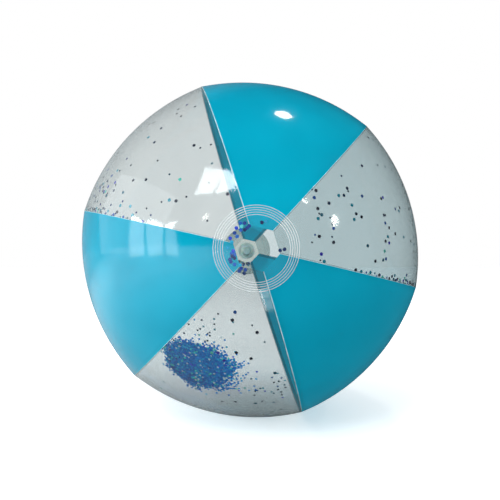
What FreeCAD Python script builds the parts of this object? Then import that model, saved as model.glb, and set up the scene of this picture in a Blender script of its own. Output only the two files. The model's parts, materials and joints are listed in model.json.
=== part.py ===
import FreeCAD, Part
import math
import os
import random
import Sketcher

# Inflatable beach ball: six welded film gores, a round end cap over each pole, loose glitter
# inside, and a push-in valve with bellows, check flap and captive plug in the rear cap.
# Origin at the ball's centre. The two poles lie on the Y axis, the valve is at +Y, +Z is up.

doc = FreeCAD.newDocument("BeachBall")
Vector = FreeCAD.Vector
Rotation = FreeCAD.Rotation
Placement = FreeCAD.Placement
ORIGIN = Vector(0, 0, 0)
POLES = Vector(0, 1, 0)

# --- sizes, in millimetres --------------------------------------------------------------

SIZES = [
    ("ball_radius", 193.0, "centre to the middle of a gore"),
    ("gore_axis_offset", 34.0, "how far behind the centre a gore's own axis lies"),
    ("film", 0.25, "PVC film of gores and caps"),
    ("lap_width", 4.0, "weld flange of a clear gore under its neighbour"),
    ("lap_bite", 1.0, "part of that flange under the clear gore itself"),
    ("tip_apothem", 17.6, "pole to the straight cut end of a gore"),
    ("cap_radius", 37.5, "end cap"),
    ("cap_weld_width", 10.0, "ring of the cap that is welded to the gores"),
    ("cap_gap", 0.6, "pocket between the gore tips and the cap"),
    ("ridge_pitch", 2.0, "weld ridges on the cap's ring"),
    ("ridge_width", 0.9, "one weld ridge"),
    ("ridge_height", 0.3, "one weld ridge above the ring"),
    ("ridge_margin", 1.0, "cap edge to the middle of the outer ridge"),
    ("flake_across", 3.0, "glitter hexagon across its flats"),
    ("flake_thick", 0.1, "glitter hexagon"),
    ("flake_gap", 0.1, "flake to the film it lies on"),
    ("heap_radius", 72.0, "loose glitter heap, across its rim"),
    ("heap_depth", 2.4, "loose glitter heap at its middle"),
    ("heap_clearance", 0.35, "heap to the flakes on the wall"),
    ("valve_hole_radius", 9.0, "hole in the rear cap"),
    ("flange_radius", 13.0, "valve flange under the rear cap"),
    ("flange_thick", 0.6, "valve flange"),
    ("bellows_drop", 7.0, "depth of the cone that carries the stem"),
    ("bellows_thick", 0.5, "bellows web"),
    ("stem_radius", 5.5, "valve tube outside"),
    ("stem_length", 18.0, "valve tube with its rim"),
    ("nozzle_radius", 3.75, "bore that takes a pump nozzle"),
    ("rim_radius", 7.5, "rim of the valve tube"),
    ("rim_thick", 1.5, "rim of the valve tube"),
    ("rim_clearance", 0.35, "pushed-in rim to the cap"),
    ("plug_bore_radius", 4.2, "counterbore for the plug"),
    ("plug_bore_depth", 5.0, "counterbore for the plug"),
    ("plug_head_radius", 7.0, "plug head"),
    ("plug_head_thick", 1.5, "plug head"),
    ("plug_fit", 0.05, "plug to its counterbore"),
    ("spigot_length", 4.5, "plug below its head"),
    ("tab_reach", 11.5, "plug axis to the end of its pull tab"),
    ("tab_width", 6.0, "pull tab"),
    ("hinge_reach", 10.0, "plug axis to the fold of its strap"),
    ("strap_width", 4.0, "strap between rim and plug"),
    ("strap_thick", 0.9, "strap between rim and plug"),
    ("strap_slit", 0.2, "half the slit between the strap's two leaves"),
    ("flap_radius", 4.9, "check flap"),
    ("flap_thick", 0.4, "check flap"),
    ("flap_gap", 0.05, "closed flap to the tube's end"),
]

# Heights along the pole axis and radii that follow from the sizes above.
WORKED_OUT = [
    ("cap_top", "=ball_radius + cap_gap + film", "outer face of a cap at the pole"),
    ("rim_under", "=cap_top + rim_clearance", "underside of the pushed-in rim"),
    ("rim_top", "=rim_under + rim_thick", "top of the rim, where the plug sits"),
    ("stem_end", "=rim_top - stem_length", "inner end of the valve tube"),
    ("bellows_top", "=ball_radius + cap_gap - film", "where the bellows meets the flange"),
    ("half_ridge", "=ridge_width / 2", "middle of a weld ridge to its side"),
    ("half_tab", "=tab_width / 2", "rounded end of the pull tab"),
    ("half_strap", "=strap_width / 2", "middle of the strap to its side"),
    ("heap_outer", "=ball_radius - film - flake_gap - flake_thick - heap_clearance", "heap outside"),
    ("heap_rise", "=heap_outer - heap_depth - sqrt(heap_outer ^ 2 - heap_radius ^ 2)",
     "heap's middle to its rim"),
    ("heap_hollow", "=(heap_radius ^ 2 + heap_rise ^ 2) / (2 * heap_rise)", "heap's upper face"),
]

# Counts and angles. Angles are measured in the XZ plane from +X towards +Z.
GORES = 6
GORE_ANGLE = 360.0 / GORES
TURQUOISE_MIDDLES = (77.0, 197.0, 317.0)
CLEAR_MIDDLES = (17.0, 137.0, 257.0)
RIDGES = 5
HEAP_DIRECTION = -115.0
HEAP_LEAN = 25.0
# Flakes are strewn by throws at a gore or a cap; a throw that finds no room leaves no flake.
THROWS_ON_CLEAR = 60
THROWS_ON_TURQUOISE = 36
THROWS_AT_CAP = 240
FLAKE_ROOM = 1.2  # times a flake's corner radius, kept free round its middle at a cap
FLAKE_SPACING = 1.3  # times a flake's width, from middle to middle
ALONG_GORE = (-75.0, 75.0)
ACROSS_GORE = (-28.0, 28.0)

sheet = doc.addObject("Spreadsheet::Sheet", "Sizes")
for row, (alias, value, meaning) in enumerate(SIZES + WORKED_OUT, 1):
    sheet.set("A%d" % row, meaning)
    sheet.set("B%d" % row, str(value))
    sheet.setAlias("B%d" % row, alias)
doc.recompute()
size = {alias: float(sheet.get(alias)) for alias, value, meaning in SIZES + WORKED_OUT}


def linked(formula):
    """The expression that binds a property to a sum of named sizes."""
    return " ".join("Sizes." + word if word in size else word for word in formula.split())


def number(formula):
    """The present value of such a sum."""
    total = 0.0
    sign = 1.0
    for word in formula.split():
        if word in ("+", "-"):
            sign = 1.0 if word == "+" else -1.0
        else:
            total += sign * (size[word] if word in size else float(word))
    return total


def bind(thing, **formulas):
    """Ties properties of a document object to the sheet."""
    for name, formula in formulas.items():
        thing.setExpression(name.replace("_at_", "."), linked(formula))
    return thing


def turned(angle):
    """Turns a part about the pole axis, from +X towards +Z."""
    return Placement(ORIGIN, Rotation(POLES, -angle))


# --- outlines ---------------------------------------------------------------------------

def outline(sketch, points, arc_after=None, arc_centre=None):
    """A closed outline through (x, y) sums; one side may be an arc about a named centre."""
    spots = [Vector(number(x), number(y), 0) for x, y in points]
    count = len(spots)
    for index, start in enumerate(spots):
        end = spots[(index + 1) % count]
        if index == arc_after:
            centre = Vector(number(arc_centre[0]), number(arc_centre[1]), 0)
            circle = Part.Circle(centre, Vector(0, 0, 1), (start - centre).Length)
            low = circle.parameter(end)
            high = circle.parameter(start)
            sketch.addGeometry(Part.ArcOfCircle(circle, low, high))
        else:
            sketch.addGeometry(Part.LineSegment(start, end))
    for index in range(count):
        last = 1 if index == arc_after else 2
        following = (index + 1) % count
        first = 2 if following == arc_after else 1
        sketch.addConstraint(Sketcher.Constraint("Coincident", index, last, following, first))
    fixed = [(index, 2 if index == arc_after else 1, x, y) for index, (x, y) in enumerate(points)]
    if arc_after is not None:
        end = (arc_after + 1) % count
        fixed = [spot for spot in fixed if spot[0] != end]
        sketch.addConstraint(Sketcher.Constraint("DistanceY", end, 1, number(points[end][1])))
        sketch.setExpression("Constraints[%d]" % (sketch.ConstraintCount - 1), linked(points[end][1]))
        fixed.append((arc_after, 3) + arc_centre)
    for index, corner, x, y in fixed:
        for kind, formula in (("DistanceX", x), ("DistanceY", y)):
            sketch.addConstraint(Sketcher.Constraint(kind, index, corner, number(formula)))
            sketch.setExpression("Constraints[%d]" % (sketch.ConstraintCount - 1), linked(formula))


def revolved_body(label, points, **arc):
    """A piece turned about the pole axis from its outline of (radius, height) points."""
    body = doc.addObject("PartDesign::Body", label)
    sketch = body.newObject("Sketcher::SketchObject", label + "_outline")
    plane = [part for part in body.Origin.OriginFeatures if part.Role == "XY_Plane"][0]
    sketch.AttachmentSupport = (plane, [""])
    sketch.MapMode = "FlatFace"
    outline(sketch, points, **arc)
    turn = body.newObject("PartDesign::Revolution", label + "_turned")
    turn.Profile = sketch
    turn.ReferenceAxis = (sketch, ["V_Axis"])
    turn.Angle = 360.0
    sketch.Visibility = False
    return body


# --- layers of film ---------------------------------------------------------------------
# A gore is curved along its middle like the ball and across it like a larger ball: its film is
# an arc of the ball's radius swung about an axis that lies behind the centre. Two neighbours
# then meet exactly in the plane between them, where the seam stands a little proud.

def layer(name, inner, outer, turn=0.0):
    """Film between two radii, swung about a gore's own axis; the gore's middle is at +X."""
    sketch = doc.addObject("Sketcher::SketchObject", name + "_section")
    quarter = math.pi / 2
    for formula in (outer, inner):
        circle = Part.Circle(ORIGIN, Vector(0, 0, 1), number(formula))
        sketch.addGeometry(Part.ArcOfCircle(circle, -quarter, quarter))
    for sign in (1, -1):
        start = Vector(0, sign * number(outer), 0)
        sketch.addGeometry(Part.LineSegment(start, Vector(0, sign * number(inner), 0)))
    for arc, formula in ((0, outer), (1, inner)):
        sketch.addConstraint(Sketcher.Constraint("Coincident", arc, 3, -1, 1))
        sketch.addConstraint(Sketcher.Constraint("Radius", arc, number(formula)))
        sketch.setExpression("Constraints[%d]" % (sketch.ConstraintCount - 1), linked(formula))
    for line, end in ((2, 2), (3, 1)):
        sketch.addConstraint(Sketcher.Constraint("Coincident", line, 1, 0, end))
        sketch.addConstraint(Sketcher.Constraint("Coincident", line, 2, 1, end))
        sketch.addConstraint(Sketcher.Constraint("PointOnObject", 0, end, -2))
        sketch.addConstraint(Sketcher.Constraint("PointOnObject", 1, end, -2))
    swung = doc.addObject("Part::Revolution", name)
    swung.Source = sketch
    swung.Axis = POLES
    swung.Solid = True
    swung.Symmetric = True
    swung.Angle = 2 * GORE_ANGLE
    bind(swung, Base_at_x="0 - gore_axis_offset")
    swung.Placement = turned(turn)
    return swung


def prism(name, corners):
    """An upright prism along the pole axis from corners (x, z) in the XZ plane."""
    sketch = doc.addObject("Sketcher::SketchObject", name + "_plan")
    sketch.Placement = Placement(ORIGIN, Rotation(Vector(1, 0, 0), 90))
    sketch.addGeometry([Part.LineSegment(a, b) for a, b in zip(corners, corners[1:] + corners[:1])])
    count = len(corners)
    for index in range(count):
        following = (index + 1) % count
        sketch.addConstraint(Sketcher.Constraint("Coincident", index, 2, following, 1))
    solid = doc.addObject("Part::Extrusion", name)
    solid.Base = sketch
    solid.DirMode = "Custom"
    solid.Dir = POLES
    solid.Solid = True
    solid.Symmetric = True
    bind(solid, LengthFwd="ball_radius + ball_radius + ball_radius")
    return sketch, solid


def wedge(name):
    """The space that one gore may fill: a sector with its tip cut off square."""
    half = math.radians(GORE_ANGLE / 2)
    near = size["tip_apothem"]
    far = 2 * size["ball_radius"]
    corners = [Vector(near, -near * math.tan(half), 0), Vector(far, -far * math.tan(half), 0),
               Vector(far, far * math.tan(half), 0), Vector(near, near * math.tan(half), 0)]
    sketch, solid = prism(name, corners)
    low, outside, high, tip = range(4)
    for line in (low, high):
        sketch.addConstraint(Sketcher.Constraint("PointOnObject", -1, 1, line))
    sketch.addConstraint(Sketcher.Constraint("Angle", low, -half))
    sketch.addConstraint(Sketcher.Constraint("Angle", high, math.pi + half))
    sketch.addConstraint(Sketcher.Constraint("Vertical", outside))
    sketch.addConstraint(Sketcher.Constraint("Vertical", tip))
    for line, formula in ((tip, "tip_apothem"), (outside, "ball_radius + ball_radius")):
        sketch.addConstraint(Sketcher.Constraint("DistanceX", line, 1, number(formula)))
        sketch.setExpression("Constraints[%d]" % (sketch.ConstraintCount - 1), linked(formula))
    return solid


def strip(name, side, inward, outward):
    """The space beside a seam: from `inward` on the gore's side to `outward` past the seam."""
    box = doc.addObject("Part::Box", name)
    bind(box, Length="ball_radius + ball_radius", Width=inward + " + " + outward,
         Height="ball_radius + ball_radius + ball_radius")
    half = math.radians(GORE_ANGLE / 2)
    # The box lies flat first, then stands along the pole axis with one edge on the seam,
    # half of its length on each side of the equator.
    start = size["tip_apothem"] / math.cos(half)
    low = number(inward) if side > 0 else number(outward)
    laid = Placement(Vector(start, -low, -1.5 * size["ball_radius"]), Rotation())
    upright = Placement(ORIGIN, Rotation(Vector(1, 0, 0), 90))
    box.Placement = turned(side * GORE_ANGLE / 2).multiply(upright).multiply(laid)
    return box


def boolean(kind, name, parts):
    """A Part boolean of document objects."""
    result = doc.addObject("Part::" + kind, name)
    result.Shapes = parts
    return result


def fused(name, parts):
    return boolean("MultiFuse", name, parts)


def common(name, parts):
    return boolean("MultiCommon", name, parts)


def cut(name, base, tool):
    result = doc.addObject("Part::Cut", name)
    result.Base = base
    result.Tool = tool
    return result


def upright_cylinder(name, radius, height, low, angle=360.0, turn=0.0):
    """A cylinder about the pole axis that starts at height `low`; angle < 360 gives a sector."""
    rod = doc.addObject("Part::Cylinder", name)
    rod.Angle = angle
    bind(rod, Radius=radius, Height=height)
    # A cylinder grows along its own Z and its sector opens from its own X.
    aligned = Rotation(Vector(1, 0, 0), -90)
    rod.Placement = Placement(Vector(0, number(low), 0), Rotation(POLES, -turn).multiply(aligned))
    rod.setExpression("Placement.Base.y", linked(low))
    return rod


# --- gores ------------------------------------------------------------------------------

film_layer = layer("film_layer", "ball_radius - film", "ball_radius")
gore_space = wedge("gore_space")
UNDER = ("ball_radius - film - film", "ball_radius - film")
lap_layers = {0: layer("lap_layer_own", *UNDER),
              1: layer("lap_layer_next", *UNDER, turn=GORE_ANGLE),
              -1: layer("lap_layer_last", *UNDER, turn=-GORE_ANGLE)}
laps = []
for side, word in ((1, "next"), (-1, "last")):
    bite = strip("bite_space_" + word, side, "lap_bite", "0")
    laps.append(common("lap_bite_" + word, [lap_layers[0], bite]))
    under = strip("lap_space_" + word, side, "0", "lap_width")
    laps.append(common("lap_" + word, [lap_layers[side], under]))
clear_film = common("clear_film", [film_layer, gore_space])

nodes = []


def node(thing, label, placement=None):
    """Names a finished sub-part; its Label is also its file's name."""
    thing.Label = label
    if placement is not None:
        thing.Placement = placement
    nodes.append(thing)
    return thing


for index, middle in enumerate(TURQUOISE_MIDDLES, 1):
    gore = common("turquoise_%d" % index, [film_layer, gore_space])
    node(gore, "gore_turquoise_%d" % index, turned(middle))
for index, middle in enumerate(CLEAR_MIDDLES, 1):
    gore = fused("clear_%d" % index, [clear_film] + laps)
    node(gore, "gore_clear_%d" % index, turned(middle))


# --- end caps ---------------------------------------------------------------------------

def sector_ring(name, film, hole, edge):
    """A ring of film at the rear pole: six sectors, each on its own gore's curve."""
    sector = upright_cylinder(name + "_sector", edge, "ball_radius", "cap_radius",
                              GORE_ANGLE, -GORE_ANGLE / 2)
    if hole:
        middle = upright_cylinder(name + "_middle", hole, "ball_radius", "cap_radius")
        sector = cut(name + "_ring_sector", sector, middle)
    pieces = []
    for index in range(GORES):
        piece = common("%s_piece_%d" % (name, index), [film, sector])
        piece.Placement = turned(index * GORE_ANGLE)
        pieces.append(piece)
    return fused(name, pieces)


weld_layer = layer("weld_layer", "ball_radius", "ball_radius + film")
riser_layer = layer("riser_layer", "ball_radius", "ball_radius + cap_gap + film")
dome_layer = layer("dome_layer", "ball_radius + cap_gap", "ball_radius + cap_gap + film")
ridge_layer = layer("ridge_layer", "ball_radius", "ball_radius + film + ridge_height")
WELD_INNER = "cap_radius - cap_weld_width"
cap_parts = [sector_ring("weld_ring", weld_layer, WELD_INNER, "cap_radius"),
             sector_ring("riser", riser_layer, WELD_INNER + " - film", WELD_INNER),
             sector_ring("dome", dome_layer, None, WELD_INNER)]
ridge = "cap_radius - ridge_margin"
for index in range(RIDGES):
    cap_parts.append(sector_ring("ridge_%d" % index, ridge_layer,
                                 ridge + " - half_ridge", ridge + " + half_ridge"))
    ridge += " - ridge_pitch"
REAR = turned(CLEAR_MIDDLES[0])
FRONT = REAR.multiply(Placement(ORIGIN, Rotation(Vector(1, 0, 0), 180)))
node(fused("cap_front", cap_parts), "front_cap", FRONT)
blank = fused("cap_rear_blank", cap_parts)
valve_hole = upright_cylinder("valve_hole", "valve_hole_radius", "ball_radius", "cap_radius")
node(cut("cap_rear", blank, valve_hole), "rear_cap", REAR)


# --- valve ------------------------------------------------------------------------------

flange_layer = layer("flange_layer", "ball_radius + cap_gap - flange_thick", "ball_radius + cap_gap")
flange = sector_ring("flange", flange_layer, "valve_hole_radius", "flange_radius")
node(flange, "valve_flange", REAR)

bellows = revolved_body("bellows", [
    ("valve_hole_radius", "bellows_top - bellows_thick"),
    ("valve_hole_radius", "bellows_top"),
    ("stem_radius", "bellows_top - bellows_drop"),
    ("stem_radius", "bellows_top - bellows_drop - bellows_thick")])
node(bellows, "valve_bellows")

stem = revolved_body("stem", [
    ("nozzle_radius", "stem_end"),
    ("stem_radius", "stem_end"),
    ("stem_radius", "rim_under"),
    ("rim_radius", "rim_under"),
    ("rim_radius", "rim_top"),
    ("plug_bore_radius", "rim_top"),
    ("plug_bore_radius", "rim_top - plug_bore_depth"),
    ("nozzle_radius", "rim_top - plug_bore_depth")])
node(stem, "valve_stem")

# The spigot's side is an arc about the strap's fold, so the plug swings out without rubbing.
# The arc decides the radius at the spigot's tip; the value there only starts the sketch.
spigot = revolved_body("plug_turned", [
    ("0", "rim_top - spigot_length"),
    ("0", "rim_top + plug_head_thick"),
    ("plug_head_radius", "rim_top + plug_head_thick"),
    ("plug_head_radius", "rim_top"),
    ("plug_bore_radius - plug_fit", "rim_top"),
    ("plug_bore_radius - plug_fit - 1", "rim_top - spigot_length")],
    arc_after=4, arc_centre=("0 - hinge_reach", "rim_top"))
tab = doc.addObject("Part::Box", "tab_plate")
bind(tab, Length="tab_width", Width="plug_head_thick", Height="tab_reach - half_tab",
     Placement_at_Base_at_x="0 - half_tab", Placement_at_Base_at_y="rim_top")
tab_end = doc.addObject("Part::Cylinder", "tab_end")
tab_end.Placement = Placement(ORIGIN, Rotation(Vector(1, 0, 0), -90))
bind(tab_end, Height="plug_head_thick", Radius="half_tab",
     Placement_at_Base_at_y="rim_top", Placement_at_Base_at_z="tab_reach - half_tab")
node(fused("plug", [spigot, tab, tab_end]), "valve_plug")


def strap_leaf(name, low):
    """One leaf of the strap, from the valve's side out to the fold, on the -Z side."""
    leaf = doc.addObject("Part::Box", name)
    return bind(leaf, Length="strap_width", Width="strap_thick", Height="hinge_reach",
                Placement_at_Base_at_x="0 - half_strap", Placement_at_Base_at_y=low,
                Placement_at_Base_at_z="0 - hinge_reach")


def fold_rod(name, radius, angle):
    """A rod along the strap's fold; a half rod faces away from the plug."""
    rod = doc.addObject("Part::Cylinder", name)
    rod.Angle = angle
    rod.Placement = Placement(ORIGIN, Rotation(Vector(0, 1, 0), Vector(0, 0, -1), Vector(-1, 0, 0), "XYZ"))
    return bind(rod, Radius=radius, Height="strap_width", Placement_at_Base_at_x="half_strap",
                Placement_at_Base_at_y="rim_top", Placement_at_Base_at_z="0 - hinge_reach")


fold = cut("strap_fold", fold_rod("fold_outer", "strap_slit + strap_thick", 180.0),
           fold_rod("fold_inner", "strap_slit", 360.0))
leaves = fused("strap_blank", [strap_leaf("lower_leaf", "rim_top - strap_slit - strap_thick"),
                               strap_leaf("upper_leaf", "rim_top + strap_slit"), fold])
rim_room = upright_cylinder("rim_room", "rim_radius", "rim_thick", "rim_under")
head_room = upright_cylinder("head_room", "plug_head_radius", "plug_head_thick", "rim_top")
strap = cut("strap", leaves, fused("strap_room", [rim_room, head_room]))
node(strap, "plug_strap")

flap_disc = upright_cylinder("flap_disc", "flap_radius", "flap_thick", "stem_end - flap_gap - flap_thick")
node(flap_disc, "check_flap")


# --- glitter ----------------------------------------------------------------------------

heap_ball = doc.addObject("Part::Sphere", "heap_ball")
bind(heap_ball, Radius="heap_outer")
heap_hollow = doc.addObject("Part::Sphere", "heap_hollow_ball")
bind(heap_hollow, Radius="heap_hollow")
heap_hollow.setExpression("Placement.Base.x",
                          "-(Sizes.heap_hollow - Sizes.heap_outer + Sizes.heap_depth)")
heap = cut("heap", heap_ball, heap_hollow)
node(heap, "glitter_heap", turned(HEAP_DIRECTION).multiply(
    Placement(ORIGIN, Rotation(Vector(0, 0, 1), HEAP_LEAN))))


def flake(radius, along, across, spin):
    """A hexagonal flake on a gore's curve; `along` and `across` are angles in radians."""
    offset = size["gore_axis_offset"]
    outward = Vector(math.cos(along) * math.cos(across), math.sin(along),
                     math.cos(along) * math.sin(across))
    reach = offset + radius * math.cos(along)
    place = Vector(reach * math.cos(across) - offset, radius * math.sin(along),
                   reach * math.sin(across))
    corner = size["flake_across"] / math.sqrt(3)
    ring = [Vector(corner * math.cos(spin + k * math.pi / 3),
                   corner * math.sin(spin + k * math.pi / 3), 0) for k in range(7)]
    solid = Part.Face(Part.makePolygon(ring)).extrude(Vector(0, 0, size["flake_thick"]))
    solid.Placement = Placement(place, Rotation(Vector(0, 0, 1), outward))
    return solid, place


def glitter(label, throws, radius, turns, allowed, along_range):
    """Separate flakes strewn where allowed(place) holds, none on top of another."""
    chance = random.Random(label)
    spacing = FLAKE_SPACING * size["flake_across"]
    solids = []
    taken = []
    for throw in range(throws):
        turn = chance.choice(turns)
        along = math.radians(chance.uniform(*along_range))
        across = math.radians(chance.uniform(*ACROSS_GORE))
        solid, place = flake(radius, along, across, chance.uniform(0, math.pi / 3))
        seam = place.x * math.sin(math.radians(GORE_ANGLE / 2)) - abs(place.z) * math.cos(
            math.radians(GORE_ANGLE / 2))
        here = turned(turn).multVec(place)
        if not allowed(place, seam) or any(here.sub(p).Length < spacing for p in taken):
            continue
        solid.Placement = turned(turn).multiply(solid.Placement)
        solids.append(solid)
        taken.append(here)
    flakes = doc.addObject("Part::Feature", label)
    flakes.Shape = Part.makeCompound(solids)
    return node(flakes, label)


def on_wall(place, seam):
    """Clear of the weld flanges and of the caps."""
    clear_of_lap = seam > size["lap_width"] + size["flake_across"]
    return clear_of_lap and math.hypot(place.x, place.z) > size["cap_radius"] + size["flake_across"]


def in_pocket(place, seam):
    """Over the gore tips, inside the cap's welded ring and clear of the seams."""
    from_pole = math.hypot(place.x, place.z)
    room = FLAKE_ROOM * size["flake_across"] / math.sqrt(3)
    return place.x > size["tip_apothem"] and from_pole < pocket_radius - room and seam > room


wall = number("ball_radius - film - flake_gap - flake_thick")
for kind, middles, throws in (("clear", CLEAR_MIDDLES, THROWS_ON_CLEAR),
                              ("turquoise", TURQUOISE_MIDDLES, THROWS_ON_TURQUOISE)):
    for index, middle in enumerate(middles, 1):
        glitter("glitter_on_%s_%d" % (kind, index), throws, wall, [middle], on_wall, ALONG_GORE)
pocket = number("ball_radius + flake_gap")
pocket_radius = number("cap_radius - cap_weld_width - film")
at_cap = [math.degrees(math.acos(reach / pocket)) for reach in (pocket_radius, size["tip_apothem"])]
every_turn = [CLEAR_MIDDLES[0] + GORE_ANGLE * index for index in range(GORES)]
for label, side in (("glitter_at_front_cap", -1), ("glitter_at_rear_cap", 1)):
    glitter(label, THROWS_AT_CAP, pocket, every_turn, in_pocket, [side * angle for angle in at_cap])


# --- check and write --------------------------------------------------------------------

doc.recompute()
for thing in doc.Objects:
    if "Invalid" in thing.State or "Error" in thing.State:
        raise RuntimeError("%s did not build: %s" % (thing.Label, thing.State))
os.makedirs("parts", exist_ok=True)
for part in nodes:
    shape = part.Shape
    if shape.isNull() or not shape.isValid() or not shape.Solids:
        raise RuntimeError("%s is not a sound solid" % part.Label)
for part in nodes:
    part.Shape.exportStep("parts/%s.step" % part.Label)
    print("%-24s %3d solids  %10.2f mm3" % (part.Label, len(part.Shape.Solids), part.Shape.Volume))
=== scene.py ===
"""Looks of an inflatable beach ball: film gores, welds, end caps, valve and loose glitter.

The poles lie on the Y axis, the valve is at +Y and +Z is up. All lengths are in metres.
"""

import json
import math
from functools import partial

import bmesh
import bpy
import numpy as np
from bpy.props import FloatProperty, IntProperty, PointerProperty, StringProperty
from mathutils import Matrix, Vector


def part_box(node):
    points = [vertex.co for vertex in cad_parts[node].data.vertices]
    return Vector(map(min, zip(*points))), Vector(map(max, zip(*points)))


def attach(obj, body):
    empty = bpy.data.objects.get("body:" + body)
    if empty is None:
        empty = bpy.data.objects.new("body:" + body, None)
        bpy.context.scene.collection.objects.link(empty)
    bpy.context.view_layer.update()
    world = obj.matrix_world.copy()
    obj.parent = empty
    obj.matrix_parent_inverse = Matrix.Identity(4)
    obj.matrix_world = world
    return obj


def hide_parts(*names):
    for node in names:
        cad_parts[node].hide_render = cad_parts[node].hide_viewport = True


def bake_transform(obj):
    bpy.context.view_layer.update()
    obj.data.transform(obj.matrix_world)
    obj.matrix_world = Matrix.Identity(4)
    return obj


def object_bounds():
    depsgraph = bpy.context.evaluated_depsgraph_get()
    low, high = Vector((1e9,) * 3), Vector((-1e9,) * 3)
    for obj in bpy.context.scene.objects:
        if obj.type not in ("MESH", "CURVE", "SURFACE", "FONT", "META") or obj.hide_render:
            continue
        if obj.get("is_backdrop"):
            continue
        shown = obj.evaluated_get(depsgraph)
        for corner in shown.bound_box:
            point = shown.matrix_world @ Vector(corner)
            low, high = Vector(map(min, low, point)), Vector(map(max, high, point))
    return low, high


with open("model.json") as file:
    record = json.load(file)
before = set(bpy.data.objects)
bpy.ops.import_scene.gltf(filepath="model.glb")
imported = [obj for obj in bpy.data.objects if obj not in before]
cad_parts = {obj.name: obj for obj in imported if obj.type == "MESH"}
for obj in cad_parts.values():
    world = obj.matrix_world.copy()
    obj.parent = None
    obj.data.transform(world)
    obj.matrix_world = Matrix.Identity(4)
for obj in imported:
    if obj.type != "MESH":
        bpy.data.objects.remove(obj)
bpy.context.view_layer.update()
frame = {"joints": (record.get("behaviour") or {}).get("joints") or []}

bl_info = {
    "name": "Beach Ball",
    "version": (1, 0, 0),
    "blender": (4, 5, 0),
    "location": "View3D > Sidebar > Beach Ball",
    "description": "Builds an inflated beach ball of turquoise and clear film with loose glitter",
    "category": "Object",
}

MM = 0.001

# --- what the frame says ------------------------------------------------------------------

GORE_ANGLE = 60.0
TURQUOISE_MIDDLES = (77.0, 197.0, 317.0)
CLEAR_MIDDLES = (17.0, 137.0, 257.0)
SEAMS = tuple((CLEAR_MIDDLES[0] + GORE_ANGLE / 2 + GORE_ANGLE * k) % 360 for k in range(6))
CAP_LIFT = 0.85 * MM  # gore's outer face to the cap's, at the pole
BALL_RADIUS = -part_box("front_cap")[0].y - CAP_LIFT
STEM_LOW, STEM_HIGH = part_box("valve_stem")
PLUG_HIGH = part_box("valve_plug")[1]
FLAP_LOW, FLAP_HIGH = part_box("check_flap")
JOINT_PLACE = {joint["name"]: joint.get("pos_m") for joint in frame["joints"]}


# --- sizes and colours that a user would change -------------------------------------------

def length(name, default, description):
    """A length property in metres, given in millimetres."""
    return FloatProperty(name=name, description=description, default=default * MM, min=0.0,
                         precision=5, unit="LENGTH", subtype="DISTANCE")


def colour(name, default, description):
    """A colour property written as sRGB hex."""
    return StringProperty(name=name, description=description, default=default)


def amount(name, default, description):
    """A plain number property."""
    return FloatProperty(name=name, description=description, default=default, min=0.0)


class FilmSettings(bpy.types.PropertyGroup):
    """Gores, welds and end caps."""
    gore_offset: length("Gore axis offset", 34.0, "How far behind the centre a gore's axis lies")
    thickness: length("Film thickness", 0.25, "PVC film of gores and caps")
    tip: length("Gore tip", 17.6, "Pole to the straight cut end of a gore")
    lap: length("Weld lap", 4.0, "Flange of a clear gore under its neighbour")
    pucker: length("Pucker height", 0.13, "Small puckers that the weld draws into the film")
    pucker_reach: length("Pucker reach", 13.0, "How far puckers run from a seam")
    slack: length("Slack of the film", 0.45, "Broad swells of the film between its seams")
    weld_radius: length("Weld bead radius", 0.4, "Half the bead of squeezed-out film on a seam")
    cap_radius: length("Cap radius", 37.5, "End cap over each pole")
    cap_weld: length("Cap weld width", 10.0, "Ring of the cap that is welded down")
    ridge_pitch: length("Ridge pitch", 2.0, "Weld ridges on the cap's ring")
    ridge_height: length("Ridge height", 0.3, "One weld ridge above the ring")
    ridge_margin: length("Ridge margin", 1.0, "Cap edge to the middle of the outer ridge")
    ridges: IntProperty(name="Ridges", description="Weld ridges on a cap", default=5, min=1)
    turquoise: colour("Turquoise", "#00AEC8", "Printed turquoise film")
    turquoise_deep: colour("Deep turquoise", "#00A1BB", "Thicker ink on the turquoise film")
    clear: colour("Clear film", "#D8DCDC", "Milky haze in the clear film")
    haze: colour("Film haze", "#BCC0BF", "The same haze where it is thickest")
    glow: colour("Backlit turquoise", "#10E2EE", "What the printed film lets through, diffused")
    # The three clear gores are one film. Their tints differ only to copy how light fell on each: painted
    # shade on the right and lower gores, painted light on the upper one.
    right_tint_painted_shade: colour("Right film tint", "#EAF0F1", "What one face of the right clear gore passes")
    upper_tint_painted_light: colour("Upper film tint", "#F6F8F8", "What one face of the upper clear gore passes")
    lower_tint_painted_shade: colour("Lower film tint", "#EDEFEF", "What one face of the lower clear gore passes")


class GlitterSettings(bpy.types.PropertyGroup):
    """Loose glitter inside the ball."""
    across: length("Flake width", 3.0, "Glitter hexagon across its flats")
    thickness: length("Flake thickness", 0.1, "Glitter hexagon")
    heap_radius: length("Heap radius", 72.0, "Loose heap, middle to rim along the film")
    heap_depth: length("Heap depth", 2.2, "Loose heap at its middle")
    per_clear: amount("Flakes on clear film", 130.0, "Thousands to a square metre where thickest")
    per_turquoise: amount("Flakes on turquoise film", 8.0, "Thousands to a square metre where thickest")
    seed: IntProperty(name="Seed", description="Another seed strews the flakes anew", default=7)
    blue: colour("Blue", "#0A88E4", "Most of the glitter")


class ValveSettings(bpy.types.PropertyGroup):
    """Push-in valve in the rear cap."""
    hole: length("Hole radius", 9.0, "Hole in the rear cap")
    flange: length("Flange radius", 13.0, "Valve flange under the cap")
    tube: length("Tube radius", 5.5, "Valve tube outside")
    bore: length("Bore radius", 3.75, "Bore that takes a pump nozzle")
    plug_bore: length("Counterbore radius", 4.2, "Counterbore for the plug")
    drop: length("Bellows drop", 7.0, "Depth of the cone that carries the tube")
    vinyl: colour("Valve vinyl", "#C3D0C9", "Soft moulded translucent vinyl")


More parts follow.
